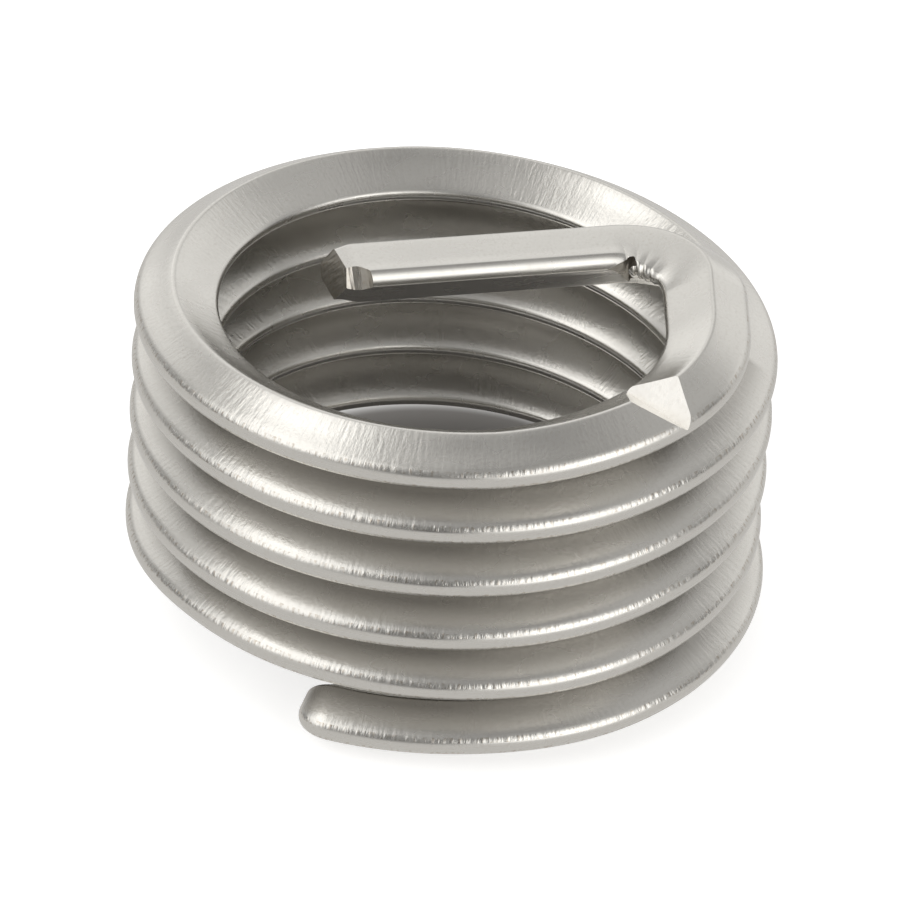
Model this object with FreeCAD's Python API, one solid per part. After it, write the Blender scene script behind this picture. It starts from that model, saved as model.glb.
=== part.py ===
import FreeCAD, Part
import math
import os

# Helical thread insert: one diamond-section wire, coiled right-handed, with a driving tang
# The axis of the coil is Z, the origin lies on it at the lowest point, and the tang is at the top.
# Azimuths are in degrees about Z from +X. The wire starts at the bottom and climbs anticlockwise.
# Each length of wire is made in a frame of its own: X outwards, Y along the wire, Z upwards.

# Wire section
wire_width = 1.63
thread_angle = 60.0
crest_round = 0.38
inner_land = 0.24

# Coil in its free state
coil_diameter = 17.2
turn_gap = 0.06
start_azimuth = -114.6
lead_azimuth = -44.1
coil_turns = 5

# Lower turns, whose crests are turned true in short tiles
true_turns = 4
tile_turn = 45.0
crest_spare = 0.03

# Last of the coil, which opens away from the turn below
opening_turn = 39.7
opening_climb = 2.74

# Bottom end of the wire, its outer crest rounded over in plan
nose_round = 0.7

# Lead into the tang, and the sharp bend at its root
lead_radius = 4.28
lead_turn = 48.3
lead_pitch = 2.7
lead_straight = 1.37
bend_radius = 1.93
bend_turn = 100.7
bend_lean = 19.9
tang_length = 7.53
tang_spare = 0.5

# Tool nick across the top of the wire, just before the lead
nick_azimuth = -44.9
nick_rise_angle = 56.0
nick_fall_angle = 35.0

# Break-off notch under the inner crest at the root of the tang
notch_depth = 0.12
notch_length = 0.45
notch_setback = 0.3
notch_lean = 50.0

# Sheared end of the tang, and the pinch the shear left in the inner crest beside it
shear_yaw = 12.0
shear_pitch = 8.0
pinch_radius = 0.6
pinch_depth = 0.42
pinch_setback = 0.25

# Values that follow from the sizes above
coil_pitch = wire_width + turn_gap
opening_pitch = coil_pitch + opening_climb
half_width = wire_width / 2
half_angle = math.radians(thread_angle / 2)
flank_slope = math.tan(half_angle)
apex_depth = half_width / flank_slope
outer_depth = apex_depth - crest_round * (1 / math.sin(half_angle) - 1)
inner_depth = (half_width - inner_land / 2) / flank_slope
side_radius = coil_diameter / 2 - outer_depth
crest_angle = (math.pi / 2 - half_angle) / 4
crest_land = crest_round * math.tan(crest_angle)
shoulder_slope = math.tan(2 * crest_angle)
full_turn = 360.0
joining_gap = 1e-3
origin = FreeCAD.Vector(0, 0, 0)
outward = FreeCAD.Vector(1, 0, 0)
forward = FreeCAD.Vector(0, 1, 0)
up = FreeCAD.Vector(0, 0, 1)


def section(spare=0.0):
    """Diamond section of the wire, its outer crest wrapped around a round by three flats.

    A spare raises both crests along the flats beside them, to be turned off later.
    """
    crest = outer_depth + spare
    crest_half = crest_land - spare / shoulder_slope
    shoulder = outer_depth - 2 * crest_land * math.sin(2 * crest_angle)
    shoulder_half = crest_land + 2 * crest_land * math.cos(2 * crest_angle)
    bore = -inner_depth - spare
    bore_half = inner_land / 2 - spare * flank_slope
    upper = [(crest, crest_half), (shoulder, shoulder_half), (0, half_width), (bore, bore_half)]
    lower = [(x, -z) for x, z in reversed(upper)]
    corners = [FreeCAD.Vector(x, 0, z) for x, z in upper + lower]
    return Part.makePolygon(corners + corners[:1])


def screw(centre, axis, rise, turn):
    """Motion that turns about an axis through the centre while it rises along it."""
    return FreeCAD.Placement(axis * rise, FreeCAD.Rotation(axis, turn), centre)


def wound(radius, axis, inward, rise, turn, spare=0.0):
    """Wire wound about an axis that lies inward of it, and the frame where it stops."""
    centre = inward * radius
    spine = Part.Wire(Part.makeHelix(full_turn * rise / turn, rise, radius))
    turned = FreeCAD.Rotation(-inward, FreeCAD.Vector(), axis, "ZXY")
    spine.Placement = FreeCAD.Placement(centre, turned)
    return spine.makePipeShell([section(spare)], True, True), screw(centre, axis, rise, turn)


def coiled(radius, pitch, turn, spare=0.0):
    """Wire coiled about an upright axis, and the frame where it stops."""
    return wound(radius, up, -outward, pitch * turn / full_turn, turn, spare)


def true_tile():
    """Short length of the coil, its crests turned true to the outside and the bore."""
    blank, stop = coiled(side_radius, coil_pitch, tile_turn, crest_spare)
    depth = wire_width + coil_pitch
    foot = FreeCAD.Vector(-side_radius, 0, -half_width)
    sleeve = Part.makeCylinder(side_radius + outer_depth, depth, foot)
    bore = Part.makeCylinder(side_radius - inner_depth, depth, foot)
    return blank.common(sleeve.cut(bore)), stop


def bent(radius, turn, climb, lean):
    """Wire bent from a climbing heading to a level one, and the frame where it stops.

    The axis leans towards the middle of the bend, so the inner crest rolls upwards.
    """
    heading = (forward + up * climb).normalize()
    target = FreeCAD.Rotation(up, turn).multVec(forward)
    square = heading.cross(target).normalize()
    middle = (heading + target).normalize()
    tilt = math.radians(lean)
    axis = square * math.cos(tilt) + middle * math.sin(tilt)
    along = heading.dot(axis)
    across = math.sqrt(1 - along ** 2)
    angle = 2 * math.asin(math.sin(heading.getAngle(target) / 2) / across)
    inward = axis.cross(heading).normalize()
    return wound(radius, axis, inward, radius * angle * along / across, math.degrees(angle))


def straight(length, heading):
    """Straight wire, and the frame where it stops."""
    step = heading * length
    return Part.Face(section()).extrude(step), FreeCAD.Placement(step, FreeCAD.Rotation())


def nick_cutter():
    """V-shaped cutter across the wire, its edge at mid height and its steep side ahead."""
    rise = wire_width / math.tan(math.radians(nick_rise_angle))
    fall = wire_width / math.tan(math.radians(nick_fall_angle))
    edge = -outward * apex_depth
    ahead = edge + forward * rise + up * wire_width
    behind = edge - forward * fall + up * wire_width
    profile = Part.Face(Part.makePolygon([edge, ahead, behind, edge]))
    return profile.extrude(outward * 2 * apex_depth)


def notch_cutter():
    """Wedge that leans in under the inner crest, deepest at its wall beside the bend."""
    deep = -outward * (inner_depth - notch_depth) - forward * notch_setback
    lean = up - outward * math.tan(math.radians(notch_lean))
    slope = forward * notch_length - outward * notch_depth
    outside = deep + slope * wire_width / notch_length
    corner = FreeCAD.Vector(outside.x, deep.y, 0)
    profile = Part.Face(Part.makePolygon([deep, outside, corner, deep]))
    profile.translate(-lean * half_width)
    return profile.extrude(lean * wire_width)


def end_cutter():
    """Block that shears the tang off askew, with the round of the pinch beside it."""
    reach = wire_width + tang_spare
    block = Part.makeBox(2 * reach, reach, 2 * reach, FreeCAD.Vector(-reach, 0, -reach))
    block.rotate(origin, outward, shear_pitch)
    block.rotate(origin, up, shear_yaw)
    middle = FreeCAD.Vector(pinch_depth - pinch_radius - inner_depth, -pinch_setback, -half_width)
    return block.fuse(Part.makeCylinder(pinch_radius, wire_width, middle))


def start_cutter():
    """Hollow corner that rounds the outer crest over where the wire starts."""
    foot = outward * (outer_depth - nose_round) + forward * nose_round - up * half_width
    reach = 2 * nose_round
    corner = Part.makeBox(reach, reach, wire_width, foot - forward * reach)
    return corner.cut(Part.makeCylinder(nose_round, wire_width, foot))


def placed(shape, frame):
    """The shape moved from its own frame into the given one."""
    shape.Placement = frame.multiply(shape.Placement)
    return shape


class Winder:
    """Lays lengths of wire end to end, and keeps the frame where the last one stopped."""

    def __init__(self, azimuth, height):
        turned = FreeCAD.Rotation(up, azimuth)
        self.frame = FreeCAD.Placement(turned.multVec(outward) * side_radius + up * height, turned)
        self.lengths = []

    def lay(self, length, stop):
        """Add a length made in its own frame, and move on to its stop."""
        self.lengths.append(placed(length, self.frame))
        self.frame = self.frame.multiply(stop)

    def fused(self):
        """All the lengths as one solid, their end faces matched to within the joining gap."""
        return self.lengths[0].multiFuse(self.lengths[1:], joining_gap)


def build():
    """The insert, wound from its bottom end to the sheared end of the tang."""
    winder = Winder(start_azimuth, half_width)
    cutters = [placed(start_cutter(), winder.frame)]
    tile, tile_stop = true_tile()
    for _ in range(round(true_turns * full_turn / tile_turn)):
        winder.lay(tile.copy(), tile_stop)
    whole_turn = coil_turns * full_turn + lead_azimuth - start_azimuth
    closed_turn = whole_turn - true_turns * full_turn - opening_turn
    winder.lay(*coiled(side_radius, coil_pitch, closed_turn))
    winder.lay(*coiled(side_radius, opening_pitch, opening_turn))
    nick_turn = nick_azimuth - lead_azimuth
    nick_rise = opening_pitch * nick_turn / full_turn
    nick_stop = screw(-outward * side_radius, up, nick_rise, nick_turn)
    cutters.append(placed(nick_cutter(), winder.frame.multiply(nick_stop)))
    winder.lay(*coiled(lead_radius, lead_pitch, lead_turn))
    climb = lead_pitch / (2 * math.pi * lead_radius)
    winder.lay(*straight(lead_straight, forward + up * climb))
    winder.lay(*bent(bend_radius, bend_turn, climb, bend_lean))
    cutters.append(placed(notch_cutter(), winder.frame))
    level = FreeCAD.Rotation(up, lead_azimuth + lead_turn + bend_turn).multVec(forward)
    heading = winder.frame.Rotation.inverted().multVec(level)
    end_frame = winder.frame.multiply(FreeCAD.Placement(heading * tang_length, FreeCAD.Rotation()))
    cutters.append(placed(end_cutter(), end_frame))
    winder.lay(*straight(tang_length + tang_spare, heading))
    return winder.fused().cut(cutters)


os.makedirs("parts", exist_ok=True)
insert = build()
insert.exportStep("parts/thread_insert.step")
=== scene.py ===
import bmesh
import bpy
import math
from mathutils import Matrix, Vector


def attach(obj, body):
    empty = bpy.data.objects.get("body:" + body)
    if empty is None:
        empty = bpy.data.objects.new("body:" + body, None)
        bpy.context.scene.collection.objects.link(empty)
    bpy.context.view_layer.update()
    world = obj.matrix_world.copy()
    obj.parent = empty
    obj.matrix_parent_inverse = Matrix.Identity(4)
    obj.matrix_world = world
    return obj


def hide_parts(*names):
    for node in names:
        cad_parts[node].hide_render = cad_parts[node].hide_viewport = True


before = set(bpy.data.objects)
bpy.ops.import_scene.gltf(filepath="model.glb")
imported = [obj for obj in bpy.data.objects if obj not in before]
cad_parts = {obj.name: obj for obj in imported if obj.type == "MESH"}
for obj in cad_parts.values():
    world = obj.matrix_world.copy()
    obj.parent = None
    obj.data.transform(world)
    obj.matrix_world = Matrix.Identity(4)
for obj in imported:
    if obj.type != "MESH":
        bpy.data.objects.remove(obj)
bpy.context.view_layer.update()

# Helical thread insert: rolled stainless wire on its open end, the driving tang at the top
# Sizes are in millimetres and angles in degrees, as in the part. Only the finished mesh is scaled.
# A pair named a reach is where a soft step begins and where it is done.
MM = 0.001
full_turn = 360.0

# Wire section, with its smooth land up to one angle of the crest and its rough shoulder up to
# another; the inner land is a round here
wire_width = 1.63
flank_angle = 30.0
crest_round = 0.38
land_angle = 22.0
shoulder_angle = 44.0
inner_land = 0.24
side_round = 0.16

# Coil, lead, bend and tang
coil_diameter = 17.2
turn_gap = 0.06
start_azimuth = -114.6
lead_azimuth = -43.8
coil_turns = 5
opening_turn = 36.3
opening_pitch = 3.71
lead_radius = 4.375
lead_turn = 48.1
lead_pitch = 3.08
lead_straight = 1.316
bend_radius = 1.938
bend_turn = 100.9
bend_lean = 20.0
tang_length = 7.58
tang_spare = 0.5

# Springing of the loose bottom turn: inset at first, then moved outwards, ahead and upwards by
# amounts that are each reached between two places, in turns from the wire's bottom end
sprung_inset = 0.1
sprung_aside = ((0.3, 0.0, 0.15), (-0.2, 0.55, 0.78), (0.15, 0.86, 0.95), (-0.15, 1.02, 1.3))
sprung_ahead = ((-0.1, 0.08, 0.18), (0.1, 0.2, 0.35))
sprung_upwards = ((0.13, 0.84, 0.94), (-0.13, 1.0, 1.2))

# Bottom end of the wire, rounded on all its edges
nose_length = 0.95
nose_share = 0.25
nose_centre = -0.05

# Where the wire counts as coil, and no longer as tang and lead, in lengths from the tang's end
coil_reach = (12.0, 24.0)

# Sides of the coil's wire, swelled until the turns nearly touch
side_swell = 0.06
swell_reach = (0.0, 0.6)

# Inner crest of the tang, flattened and widened
flat_before_root = 0.8
flat_past_root = 0.4
flat_reach = (-0.95, -1.2)
flat_drop = 0.07
flat_widening = 0.5

# Sheared end of the tang, drawn in a little, and the pinch beside it
tang_taper = 0.15
taper_length = 0.6
shear_yaw = 12.0
shear_pitch = 8.0
pinch_radius = 0.6
pinch_depth = 0.42
pinch_setback = 0.25
pinch_sides = 36

# Folds squeezed up in the inner crest and the lower side beside it, up to the root of the tang
wrinkle_overlap = 0.06
wrinkle_length = 2.2
wrinkle_pitch = 0.52
wrinkle_depth = 0.11
wrinkle_start = 0.3
wrinkle_low = 0.7
wrinkle_swing = 0.6
crest_fold_reach = (-0.85, -1.15)
side_fold_reach = (-0.3, -0.9)
lower_side_reach = (0.15, -0.15)

# Nick and notch; the lift keeps the nick's edge off the seam at mid height
nick_azimuth = -44.6
nick_rise_angle = 56.0
nick_fall_angle = 35.0
nick_reach = 1.5
nick_lift = 0.004
notch_depth = 0.12
notch_length = 0.45
notch_setback = 0.3
notch_lean = 50.0

# Fineness of the mesh
nose_step = 0.04
coil_step = 0.2
lead_step = 0.12
bend_step = 0.035
crest_points = 4
brow_points = 3
flank_points = 5
round_points = 6
crease_angle = 25.0

# Camera, fitted to the crests and the outline of the coil, and aimed at a height on its axis; the
# distance and the shift are in units of the coil's outer radius
aim_height = 6.0005
camera_distance = 20.0
camera_elevation = 34.306
camera_roll = 4.203
camera_shift = (0.002787, 0.141991)
camera_lens = 256.568
camera_sensor = 36.0
camera_clip = 0.01

# Colours of the metal
steel = (0.68, 0.665, 0.63)
# A lighter colour that paints a highlight on the nick face
nick_highlight_colour = (0.84, 0.82, 0.78)
worn = (0.5, 0.475, 0.43)
brown = (0.4, 0.34, 0.27)
# A dark colour for the painted shade in the grooves between the turns
groove_shade_colour = (0.34, 0.325, 0.3)

# Looks of the wire, numbered in this order: each has a colour, a roughness, streaks and specks
# as a depth with waves for each millimetre along and around, and the strength of its brown stain
FLANK, CREST, SHOULDER, CUT, NICK = range(5)
looks = (
    ("wire_flank", steel, 0.26, (0.009, 8.0, 1.5), (0.004, 12.0, 10.0), 0.12),
    ("wire_crest", steel, 0.27, (0.003, 4.0, 1.0), (0.001, 8.0, 8.0), 0.1),
    ("wire_shoulder", steel, 0.27, (0.022, 8.0, 1.5), (0.008, 12.0, 5.0), 0.7),
    ("cut_face", worn, 0.3, (0.03, 6.0, 0.8), (0.006, 8.0, 8.0), 0.6),
    # The nick face's lighter colour is a painted highlight
    ("nick_face", nick_highlight_colour, 0.3, (0.004, 5.0, 1.0), (0.002, 6.0, 6.0), 0.1))
fine_detail = 4.0
stain_levels = (0.5, 0.7)
patch_waves = (0.5, 0.9)
patch_detail = 3.0
patch_levels = (0.3, 0.7)
patch_roughness = 0.05

# Painted shade in the grooves between the turns, a darker colour, left out above the last turns,
# which stand open; and the streaks' depth on the tang, as a share of that on the coil
groove_shade_strength = 0.65
groove_shade_reach = (0.25, 0.85)
open_turns = 1.25
tang_streaks = 0.25

# Table, its size in metres: white to the camera and pale to the metal, but darker and without a
# glow in soft patches of painted shadow, each a centre with the two radii between which it fades
table_size = 0.6
table_colour = (0.9, 0.9, 0.9, 1)
table_glow = 0.55
table_tint = (1.0, 0.985, 0.965, 1)
table_level = 0.7
painted_shadow_colour = (0.3, 0.29, 0.28, 1)
patches = (((0.6, 0.9, 0.0), (5.2, 6.1)), ((0.0, 2.2, 0.0), (6.3, 7.3)))

# Room: its own level, and rings of soft glows, each with an elevation, the angle from a glow's
# middle to its rim, and an azimuth and a strength for each glow; the last is a narrow one
room_tint = (1.0, 0.993, 0.98, 1)
room_level = 0.0
glow_rings = (
    (8, 42, ((45, 0.8), (90, 0.4), (135, 0.5), (225, 0.5), (315, 1.9))),
    (37, 42, ((22, 0.2), (67, 0.1), (112, 0.65), (202, 1.35), (292, 0.25), (337, 0.3))),
    (64, 42, ((0, 0.12), (72, 0.3), (144, 0.1), (216, 0.35))),
    (62, 17, ((165, 0.9),)))

# Values that follow from the sizes above
half_width = wire_width / 2
flank_slope = math.tan(math.radians(flank_angle))
flank_share = 1 / math.sin(math.radians(flank_angle)) - 1
apex_depth = half_width / flank_slope
crest_depth = apex_depth - crest_round * flank_share
inner_depth = (half_width - inner_land / 2) / flank_slope
inner_round = (apex_depth - inner_depth) / flank_share
coil_radius = coil_diameter / 2 - crest_depth
coil_pitch = wire_width + turn_gap
turn_length = 2 * math.pi * coil_radius
X = Vector((1, 0, 0))
Y = Vector((0, 1, 0))
Z = Vector((0, 0, 1))


def smooth(first, last, value):
    """Soft step from 0 at the first value to 1 at the last."""
    share = min(1.0, max(0.0, (value - first) / (last - first)))
    return share * share * (3 - 2 * share)


def sprung(turns):
    """How far the loose bottom turn stands off the true helix, by the turns from its end."""
    def moved(steps):
        return sum(amount * smooth(first, last, turns) for amount, first, last in steps)

    aside = moved(sprung_aside) - sprung_inset
    return X * aside + Y * moved(sprung_ahead) + Z * moved(sprung_upwards)


def wrinkle(beyond):
    """Bulge of the folds before the notch, by the length beyond the root of the tang."""
    place = wrinkle_overlap - beyond - notch_setback
    if not 0 < place < wrinkle_length:
        return 0.0
    along = place / wrinkle_length * (1 - wrinkle_start) + wrinkle_start
    bulge = math.sin(math.pi * min(1.0, along))
    fold = abs(math.sin(math.pi * place / wrinkle_pitch))
    return -wrinkle_depth * bulge * (wrinkle_low + wrinkle_swing * fold)


def screw(centre, axis, rise, turn):
    """Motion that turns about an axis through the centre while it rises along it."""
    about = Matrix.Rotation(math.radians(turn), 4, axis)
    return Matrix.Translation(axis * rise + centre) @ about @ Matrix.Translation(-centre)


class Path:
    """Frames along the wire: X outwards, Y along the wire, Z upwards."""

    def __init__(self, azimuth, height):
        turned = Matrix.Rotation(math.radians(azimuth), 4, Z)
        self.frames = [turned @ Matrix.Translation(X * coil_radius + Z * height)]
        self.lengths = [0.0]

    def follow(self, motion, length, step):
        """Go on along a motion given as a function of the share of it that is done."""
        start = self.frames[-1]
        begun = self.lengths[-1]
        count = max(1, round(length / step))
        for number in range(1, count + 1):
            share = number / count
            self.frames.append(start @ motion(share))
            self.lengths.append(begun + length * share)
        return start @ motion(1.0)

    def wind(self, radius, axis, inward, rise, turn, step):
        """Wind about an axis that lies inward of the wire."""
        length = math.hypot(radius * math.radians(turn), rise)
        return self.follow(lambda share: screw(inward * radius, axis, rise * share, turn * share),
                           length, step)

    def coil(self, radius, pitch, turn, step):
        """Wind about an upright axis."""
        return self.wind(radius, Z, -X, pitch * turn / full_turn, turn, step)

    def bend(self, radius, turn, climb, lean, step):
        """Bend from a climbing heading to a level one about an axis that leans to the middle."""
        heading = (Y + Z * climb).normalized()
        target = Matrix.Rotation(math.radians(turn), 3, Z) @ Y
        square = heading.cross(target).normalized()
        middle = (heading + target).normalized()
        tilt = math.radians(lean)
        axis = square * math.cos(tilt) + middle * math.sin(tilt)
        along = heading.dot(axis)
        across = math.sqrt(1 - along ** 2)
        angle = 2 * math.asin(math.sin(heading.angle(target) / 2) / across)
        inward = axis.cross(heading).normalized()
        return self.wind(radius, axis, inward, radius * angle * along / across,
                         math.degrees(angle), step)

    def run(self, heading, length, step):
        """Go straight on."""
        return self.follow(lambda share: Matrix.Translation(heading * length * share), length, step)


def lay_path():
    """The whole path of the wire, the frames of its tool marks and the length up to the root."""
    path = Path(start_azimuth, half_width)
    marks = {}
    nose_turn = math.degrees(nose_length / coil_radius)
    path.coil(coil_radius, coil_pitch, nose_turn, nose_step)
    closed_turn = coil_turns * full_turn + lead_azimuth - start_azimuth - opening_turn - nose_turn
    path.coil(coil_radius, coil_pitch, closed_turn, coil_step)
    opened = path.coil(coil_radius, opening_pitch, opening_turn, coil_step)
    nick_turn = nick_azimuth - lead_azimuth
    nick_rise = opening_pitch * nick_turn / full_turn
    marks["nick"] = opened @ screw(-X * coil_radius, Z, nick_rise, nick_turn)
    path.coil(lead_radius, lead_pitch, lead_turn, lead_step)
    climb = lead_pitch / (2 * math.pi * lead_radius)
    path.run((Y + Z * climb), lead_straight, lead_step)
    marks["root"] = path.bend(bend_radius, bend_turn, climb, bend_lean, bend_step)
    root = path.lengths[-1]
    level = Matrix.Rotation(math.radians(lead_azimuth + lead_turn + bend_turn), 3, Z) @ Y
    heading = marks["root"].to_3x3().inverted() @ level
    marks["end"] = marks["root"] @ Matrix.Translation(heading * tang_length)
    path.run(heading, tang_length + tang_spare, lead_step)
    return path, marks, root


def arc(centre_x, centre_z, radius, first, last, count):
    """Points of an arc, as x and z, between two angles in degrees."""
    angles = [math.radians(first + (last - first) * n / (count - 1)) for n in range(count)]
    return [(centre_x + radius * math.cos(a), centre_z + radius * math.sin(a)) for a in angles]


def line(start, end, count):
    """Points strictly between two ends."""
    step_x, step_z = (end[0] - start[0], end[1] - start[1])
    shares = [n / (count + 1) for n in range(1, count + 1)]
    return [(start[0] + step_x * share, start[1] + step_z * share) for share in shares]


def ring():
    """Section of the wire as points with a look each, anticlockwise from the middle of the crest.

    The crest has a smooth land with a rough shoulder beside it, and the inner crest is smooth.
    """
    middle = crest_depth - crest_round
    land = arc(middle, 0, crest_round, 0, land_angle, crest_points)[:-1]
    shoulder = arc(middle, 0, crest_round, land_angle, shoulder_angle, crest_points)[:-1]
    brow = arc(middle, 0, crest_round, shoulder_angle, 90 - flank_angle, brow_points)
    centre_z = half_width - side_round / math.cos(math.radians(flank_angle))
    side = arc(0, centre_z, side_round, 90 - flank_angle, 90 + flank_angle, round_points)
    bore = arc(inner_round - inner_depth, 0, inner_round, 90 + flank_angle, 180, round_points)
    flank = brow + line(brow[-1], side[0], flank_points)
    flank += side + line(side[-1], bore[0], flank_points)
    points = land + shoulder + flank + bore
    kinds = [CREST] * len(land) + [SHOULDER] * len(shoulder)
    kinds += [FLANK] * len(flank) + [CREST] * len(bore)
    lower = [(x, -z) for x, z in reversed(points[1:])]
    return points + lower, kinds + kinds[-2::-1]


def groove(x, z, left):
    """Painted shade by how deep a point of the section lies in the groove by a neighbouring turn.
    """
    open_above = z > 0 and left < turn_length * open_turns
    return 0.0 if open_above or x < 0 else 1.0 - smooth(*groove_shade_reach, x)


def coarse(left):
    """How coarse the streaks are, by the length that is left: fine on the tang and the lead."""
    return tang_streaks + (1 - tang_streaks) * smooth(*coil_reach, left)


def shaped(points, length, left, beyond):
    """The section's points where the wire is rounded, swelled, flattened, folded or drawn in.

    The place is given by the lengths from the bottom end, up to the tang's end and past its root.
    """
    bare = 1.0 - min(1.0, length / nose_length)
    share = nose_share + (1 - nose_share) * math.sqrt(1 - bare * bare)
    share *= 1.0 - tang_taper * smooth(tang_spare + taper_length, tang_spare, left)
    swell = side_swell * smooth(*coil_reach, left)
    tang = tang_length + tang_spare
    flat = smooth(tang + flat_before_root, tang - flat_past_root, left)
    fold = wrinkle(beyond)
    moved = []
    for x, z in points:
        flattened = flat * smooth(*flat_reach, x)
        aside = nose_centre + (x - nose_centre) * share + fold * smooth(*crest_fold_reach, x)
        aside += flat_drop * flattened
        widened = swell * (1 - smooth(*swell_reach, abs(x))) + flat_widening * flattened
        raised = z * share * (1 + widened)
        raised += fold * smooth(*side_fold_reach, x) * smooth(*lower_side_reach, z)
        moved.append(Vector((aside, 0, raised)))
    return moved


def sweep(path, root):
    """The wire as a closed mesh.

    One UV layer holds the lengths along and around the wire, in millimetres. The other holds the
    share of painted shade in the groove and the coarseness of the streaks.
    """
    points, kinds = ring()
    count = len(points)
    around = [0.0]
    for number in range(count):
        ahead = points[(number + 1) % count]
        around.append(around[-1] + math.dist(points[number], ahead))
    mesh = bmesh.new()
    layer = mesh.loops.layers.uv.new("wire")
    depth = mesh.loops.layers.uv.new("groove")
    whole = path.lengths[-1]
    rings = []
    for place, length in zip(path.frames, path.lengths):
        shift = sprung(length / turn_length)
        section = shaped(points, length, whole - length, length - root)
        rings.append([mesh.verts.new(place @ point + shift) for point in section])
    for station in range(len(rings) - 1):
        for number in range(count):
            after = (number + 1) % count
            face = mesh.faces.new((rings[station][number], rings[station][after],
                                   rings[station + 1][after], rings[station + 1][number]))
            face.smooth = True
            face.material_index = kinds[number]
            places = ((station, number), (station, number + 1),
                      (station + 1, number + 1), (station + 1, number))
            for loop, (row, column) in zip(face.loops, places):
                left = whole - path.lengths[row]
                loop[layer].uv = (path.lengths[row], around[column])
                loop[depth].uv = (groove(*points[column % count], left), coarse(left))
    for cap in (rings[0], rings[-1][::-1]):
        face = mesh.faces.new(cap)
        face.material_index = CUT
    bmesh.ops.recalc_face_normals(mesh, faces=mesh.faces)
    return mesh


def as_object(name, mesh):
    """Object in the scene from a bmesh."""
    data = bpy.data.meshes.new(name)
    mesh.to_mesh(data)
    mesh.free()
    thing = bpy.data.objects.new(name, data)
    bpy.context.collection.objects.link(thing)
    return thing


def prism(name, outline, thickness, place):
    """Cutter with an outline in its frame, thickened along a vector, its UV in millimetres."""
    mesh = bmesh.new()
    layer = mesh.loops.layers.uv.new("wire")
    depth = mesh.loops.layers.uv.new("groove")
    near = [mesh.verts.new(place @ p) for p in outline]
    far = [mesh.verts.new(place @ (p + thickness)) for p in outline]
    mesh.faces.new(near)
    mesh.faces.new(far[::-1])
    for number in range(len(outline)):
        after = (number + 1) % len(outline)
        mesh.faces.new((near[number], far[number], far[after], near[after]))
    bmesh.ops.recalc_face_normals(mesh, faces=mesh.faces)
    across = (near[0].co - far[0].co).normalized()
    for face in mesh.faces:
        end = face.normal.cross(across).length < 0.5
        flat = (across.orthogonal() if end else face.normal.cross(across)).normalized()
        upright = face.normal.cross(flat).normalized()
        for loop in face.loops:
            loop[layer].uv = (loop.vert.co.dot(flat), loop.vert.co.dot(upright))
            loop[depth].uv = (0, 1)
    return as_object(name, mesh)


def nick_cutter(place):
    """V across the wire, its edge near mid height and its steep side ahead."""
    rise = wire_width / math.tan(math.radians(nick_rise_angle))
    fall = wire_width / math.tan(math.radians(nick_fall_angle))
    edge = Z * nick_lift - X * nick_reach
    outline = [edge, edge + Y * rise + Z * wire_width, edge - Y * fall + Z * wire_width]
    return prism("nick_cutter", outline, X * 2 * nick_reach, place)


def notch_cutter(place):
    """Wedge that leans in under the inner crest, deepest at its wall beside the bend."""
    deep = -X * (inner_depth - notch_depth) - Y * notch_setback
    outside = deep + (Y * notch_length - X * notch_depth) * wire_width / notch_length
    corner = Vector((outside.x, deep.y, 0))
    lean = Z - X * math.tan(math.radians(notch_lean))
    outline = [p - lean * half_width for p in (deep, outside, corner)]
    return prism("notch_cutter", outline, lean * wire_width, place)


def shear_cutter(place):
    """Block that shears the tang off askew."""
    reach = wire_width + tang_spare
    yaw = Matrix.Rotation(math.radians(shear_yaw), 4, Z)
    pitch = Matrix.Rotation(math.radians(shear_pitch), 4, X)
    outline = [X * x + Z * z for x, z in
               ((-reach, -reach), (reach, -reach), (reach, reach), (-reach, reach))]
    return prism("shear_cutter", outline, Y * reach, place @ (yaw @ pitch))


def pinch_cutter(place):
    """Round of the pinch that the shear left in the inner crest."""
    middle = Vector((pinch_depth - pinch_radius - inner_depth, -pinch_setback, -wire_width))
    turns = [math.radians(full_turn / pinch_sides * n) for n in range(pinch_sides)]
    outline = [middle + (X * math.cos(a) + Y * math.sin(a)) * pinch_radius for a in turns]
    return prism("pinch_cutter", outline, Z * 2 * wire_width, place)


def cut(thing, cutters):
    """Cut the thing with cutters, each with the look that it leaves, and remove the cutters."""
    for cutter, look in cutters:
        for slot in thing.data.materials:
            cutter.data.materials.append(slot)
        for face in cutter.data.polygons:
            face.material_index = look
        step = thing.modifiers.new(cutter.name, "BOOLEAN")
        step.operation = "DIFFERENCE"
        step.solver = "EXACT"
        step.object = cutter
    graph = bpy.context.evaluated_depsgraph_get()
    finished = bpy.data.meshes.new_from_object(thing.evaluated_get(graph))
    thing.modifiers.clear()
    thing.data = finished
    for cutter, _ in cutters:
        bpy.data.objects.remove(cutter)
    crease_cuts(finished)


def crease_cuts(data):
    """Sharpen the rims of cut faces, and the bends between them."""
    mesh = bmesh.new()
    mesh.from_mesh(data)
    for edge in mesh.edges:
        made = {face.material_index in (CUT, NICK) for face in edge.link_faces}
        bent = edge.calc_face_angle(0.0) > math.radians(crease_angle)
        edge.smooth = not (len(made) == 2 or (True in made and bent))
    mesh.to_mesh(data)
    mesh.free()


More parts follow.
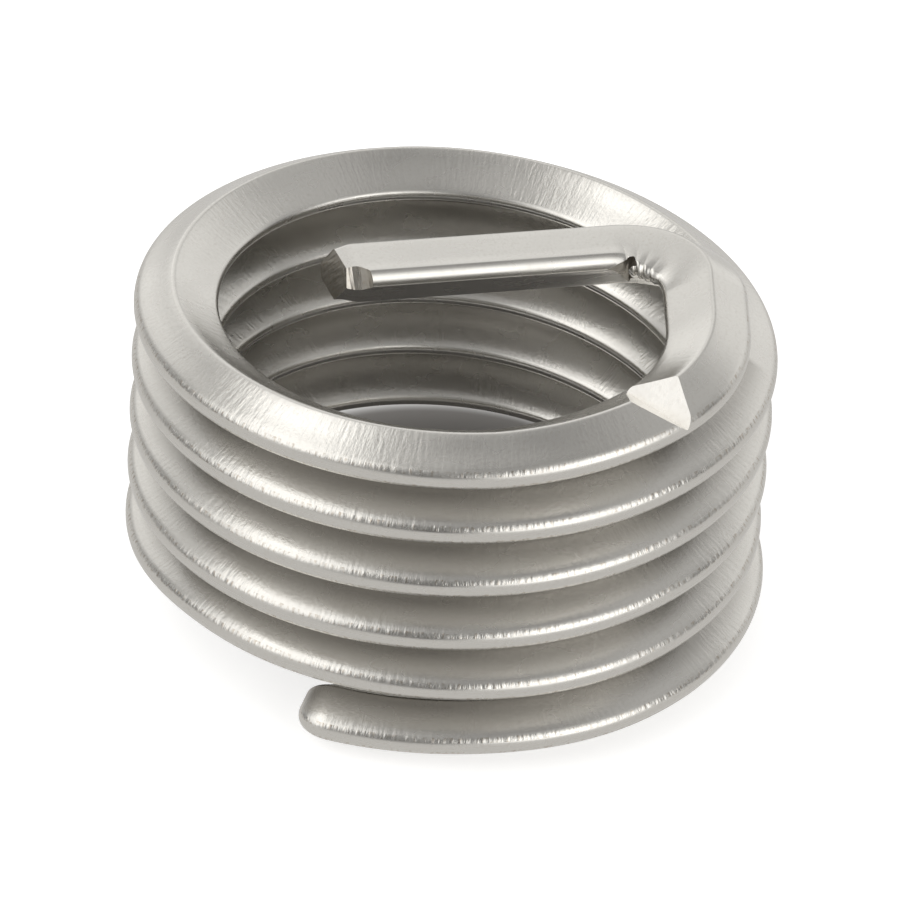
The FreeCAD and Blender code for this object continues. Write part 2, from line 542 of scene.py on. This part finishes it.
class Shading:
    """Nodes of a material or a world."""

    def __init__(self, owner):
        owner.use_nodes = True
        self.nodes = owner.node_tree.nodes
        self.links = owner.node_tree.links

    def feed(self, node, inputs):
        """Give inputs of a node each a value, or the output of another node."""
        for socket, value in inputs.items():
            if isinstance(value, bpy.types.NodeSocket):
                self.links.new(value, node.inputs[socket])
            else:
                node.inputs[socket].default_value = value
        return node

    def add(self, kind, inputs, **settings):
        """New node with its settings and its inputs."""
        node = self.nodes.new(kind)
        for setting, value in settings.items():
            setattr(node, setting, value)
        return self.feed(node, inputs)

    def spread(self, source, levels, values, **settings):
        """The part of a value between two levels, spread between two values."""
        inputs = {"Value": source, "From Min": levels[0], "From Max": levels[1],
                  "To Min": values[0], "To Max": values[1]}
        return self.add("ShaderNodeMapRange", inputs, **settings).outputs["Result"]

    def mixed(self, share, base, other):
        """A shader that goes over to another by a share."""
        inputs = {"Fac": share, 1: base.outputs[0], 2: other.outputs[0]}
        return self.add("ShaderNodeMixShader", inputs)

    def by_camera(self, unseen, seen):
        """One shader for the light and the reflections, and another for the camera."""
        ray = self.add("ShaderNodeLightPath", {})
        return self.mixed(ray.outputs["Is Camera Ray"], unseen, seen)


def metal(name, colour, roughness, streaks, specks, stain):
    """Satin steel. Streaks and specks are each a depth, and waves for each mm along and around."""
    material = bpy.data.materials.new(name)
    shading = Shading(material)

    def over(layer):
        """A UV layer of the wire."""
        return shading.add("ShaderNodeUVMap", {}, uv_map=layer).outputs["UV"]

    def pattern(along, around, detail):
        """Noise over the surface of the wire."""
        stretch = shading.add("ShaderNodeMapping", {"Vector": over("wire"),
                                                    "Scale": (along, around, 1.0)})
        waves = shading.add("ShaderNodeTexNoise", {"Vector": stretch.outputs["Vector"],
                                                   "Scale": 1.0, "Detail": detail})
        return waves.outputs["Fac"]

    def tinted(share, base, tint):
        """A colour that goes over to a tint by a share. A mix has its colours as inputs 6 and 7."""
        inputs = {"Factor": share, 6: base, 7: (*tint, 1)}
        return shading.add("ShaderNodeMix", inputs, data_type="RGBA").outputs[2]

    groove_shade_mask, coarseness, _ = shading.add("ShaderNodeSeparateXYZ", {0: over("groove")}).outputs
    heights = [pattern(along, around, fine_detail) for _, along, around in (streaks, specks)]
    relief = {}
    for (depth, _, _), height in zip((streaks, specks), heights):
        bump = shading.add("ShaderNodeBump", {"Strength": coarseness, "Distance": depth * MM,
                                              "Height": height, **relief})
        relief = {"Normal": bump.outputs["Normal"]}
    plain = shading.add("ShaderNodeRGB", {})
    plain.outputs[0].default_value = (*colour, 1)
    stain_share = shading.spread(heights[1], stain_levels, (0.0, stain))
    # Painted shade: the colour darkens deep in the grooves between the turns
    groove_shade_share = shading.spread(groove_shade_mask, (0.0, 1.0), (0.0, groove_shade_strength))
    stained_and_shaded = tinted(groove_shade_share, tinted(stain_share, plain.outputs[0], brown), groove_shade_colour)
    patchy = (roughness - patch_roughness, roughness + patch_roughness)
    rough = shading.spread(pattern(*patch_waves, patch_detail), patch_levels, patchy)
    shading.feed(shading.nodes["Principled BSDF"],
                 {"Metallic": 1.0, "Base Color": stained_and_shaded, "Roughness": rough, **relief})
    return material


def insert():
    """The wound wire with its tool marks, in metres."""
    path, marks, root = lay_path()
    wire = as_object("insert_wire", sweep(path, root))
    for look in looks:
        wire.data.materials.append(metal(*look))
    cut(wire, ((nick_cutter(marks["nick"]), NICK), (notch_cutter(marks["root"]), CUT),
               (shear_cutter(marks["end"]), CUT), (pinch_cutter(marks["end"]), CUT)))
    for vertex in wire.data.vertices:
        vertex.co *= MM
    return wire


def table():
    """Pale table that keeps the shadow, with painted shadow patches under the bore and behind the
    coil.
    """
    mesh = bmesh.new()
    bmesh.ops.create_grid(mesh, x_segments=1, y_segments=1, size=table_size)
    thing = as_object("table", mesh)
    material = bpy.data.materials.new("table")
    shading = Shading(material)
    shading.nodes.remove(shading.nodes["Principled BSDF"])
    plain = shading.add("ShaderNodeBsdfDiffuse", {"Color": table_colour})
    glow = shading.add("ShaderNodeEmission", {"Strength": table_glow})
    seen = shading.add("ShaderNodeAddShader", {0: plain.outputs[0], 1: glow.outputs[0]})
    dim = shading.add("ShaderNodeEmission", {"Color": table_tint, "Strength": table_level})
    # Painted shadow: a darker colour without the glow, in the patches under the bore and behind the
    # coil
    painted_shadow = shading.add("ShaderNodeBsdfDiffuse", {"Color": painted_shadow_colour})
    place = shading.add("ShaderNodeTexCoord", {}).outputs["Object"]
    outside = []
    for centre, radii in patches:
        away = shading.add("ShaderNodeVectorMath", {0: place, 1: Vector(centre) * MM},
                           operation="DISTANCE")
        reach = [radius * MM for radius in radii]
        outside.append(shading.spread(away.outputs["Value"], reach, (0.0, 1.0),
                                      interpolation_type="SMOOTHSTEP"))
    clear = shading.add("ShaderNodeMath", dict(enumerate(outside)), operation="MINIMUM")
    whole = shading.mixed(clear.outputs[0], painted_shadow, shading.by_camera(dim, seen))
    shading.feed(shading.nodes["Material Output"], {"Surface": whole.outputs[0]})
    thing.data.materials.append(material)
    return thing


def toward(azimuth, elevation):
    """Direction at an azimuth from +X and an elevation, both in degrees."""
    turn = math.radians(azimuth)
    rise = math.radians(elevation)
    return (X * math.cos(turn) + Y * math.sin(turn)) * math.cos(rise) + Z * math.sin(rise)


def room():
    """Room lit by its soft glows, and white to the camera."""
    world = bpy.data.worlds.new("room")
    bpy.context.scene.world = world
    shading = Shading(world)
    way = shading.add("ShaderNodeTexCoord", {}).outputs["Generated"]
    level = room_level
    for elevation, rim, glows in glow_rings:
        for azimuth, strength in glows:
            near = shading.add("ShaderNodeVectorMath", {0: way, 1: toward(azimuth, elevation)},
                               operation="DOT_PRODUCT")
            glow = shading.spread(near.outputs["Value"], (math.cos(math.radians(rim)), 1.0),
                                  (0.0, strength), interpolation_type="SMOOTHSTEP")
            level = shading.add("ShaderNodeMath", {0: level, 1: glow}).outputs[0]
    lit = shading.feed(shading.nodes["Background"], {"Color": room_tint, "Strength": level})
    white = shading.add("ShaderNodeBackground", {"Strength": 1.0})
    seen = shading.by_camera(lit, white)
    shading.feed(shading.nodes["World Output"], {"Surface": seen.outputs[0]})


def camera():
    """Camera at the photograph's place."""
    elevation = math.radians(camera_elevation)
    roll = math.radians(camera_roll)
    forward = Vector((0, math.cos(elevation), -math.sin(elevation)))
    above = Vector((0, math.sin(elevation), math.cos(elevation)))
    side = X * math.cos(roll) + above * math.sin(roll)
    head = above * math.cos(roll) - X * math.sin(roll)
    offset = forward * camera_distance + side * camera_shift[0] + head * camera_shift[1]
    location = (Z * aim_height - offset * coil_diameter / 2) * MM
    data = bpy.data.cameras.new("camera")
    data.lens = camera_lens
    data.sensor_width = camera_sensor
    data.clip_start = camera_clip
    thing = bpy.data.objects.new("camera", data)
    bpy.context.collection.objects.link(thing)
    turned = Matrix((side, head, -forward)).transposed().to_4x4()
    thing.matrix_world = Matrix.Translation(location) @ turned
    bpy.context.scene.camera = thing


wire = insert()
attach(wire, "root")
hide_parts("thread_insert")

table()
room()
camera()

bpy.context.scene.view_settings.view_transform = "Standard"
